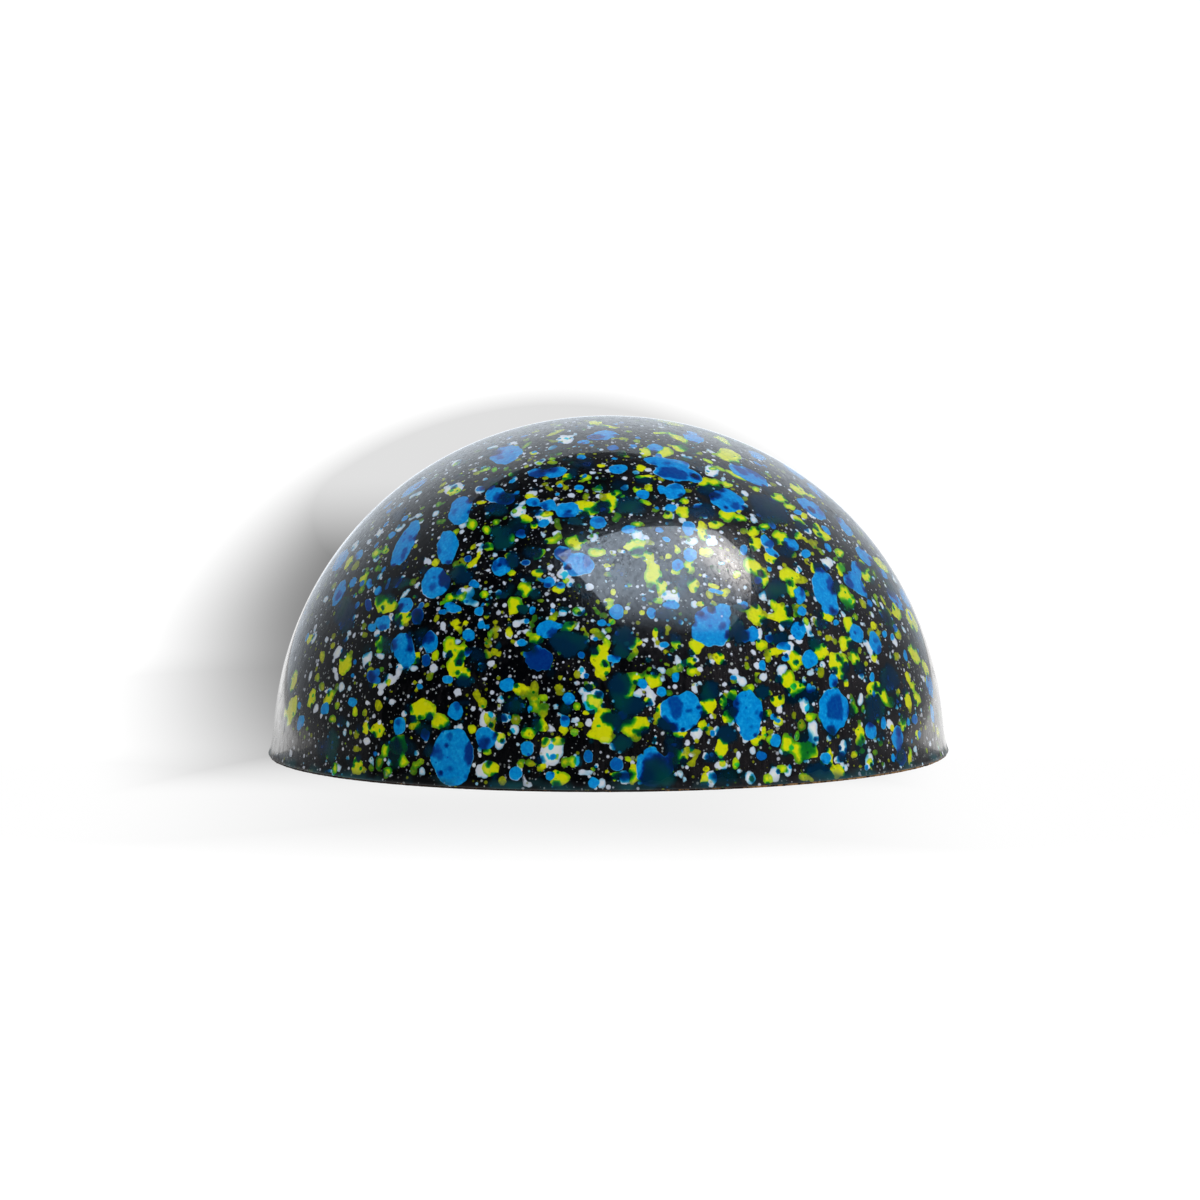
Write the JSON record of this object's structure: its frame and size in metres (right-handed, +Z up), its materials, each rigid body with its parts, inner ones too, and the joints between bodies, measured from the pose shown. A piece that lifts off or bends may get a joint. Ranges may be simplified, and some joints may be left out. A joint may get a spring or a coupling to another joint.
{
  "type": "chocolate praline",
  "caption": "Glossy half-sphere moulded dark chocolate praline, splattered with coloured cocoa butter, on a flat base; a sweet to display or serve.",
  "frame": {"origin": "middle of the flat base, on the surface that the praline stands on", "axes": "+Z up through the top of the dome; -Y is the side that the picture shows; +X is to the right in it"},
  "size_m": [0.0304, 0.0304, 0.0151],
  "materials": {
    "painted_chocolate": "polished near-black dark chocolate splattered with white, yellow and blue cocoa butter, high gloss",
    "bare_chocolate": "bare dark chocolate, scraped, satin to matt"
  },
  "bodies": {
    "root": {"painted_dome": "painted_chocolate", "closing_layer": "bare_chocolate"}
  },
  "joints": []
}
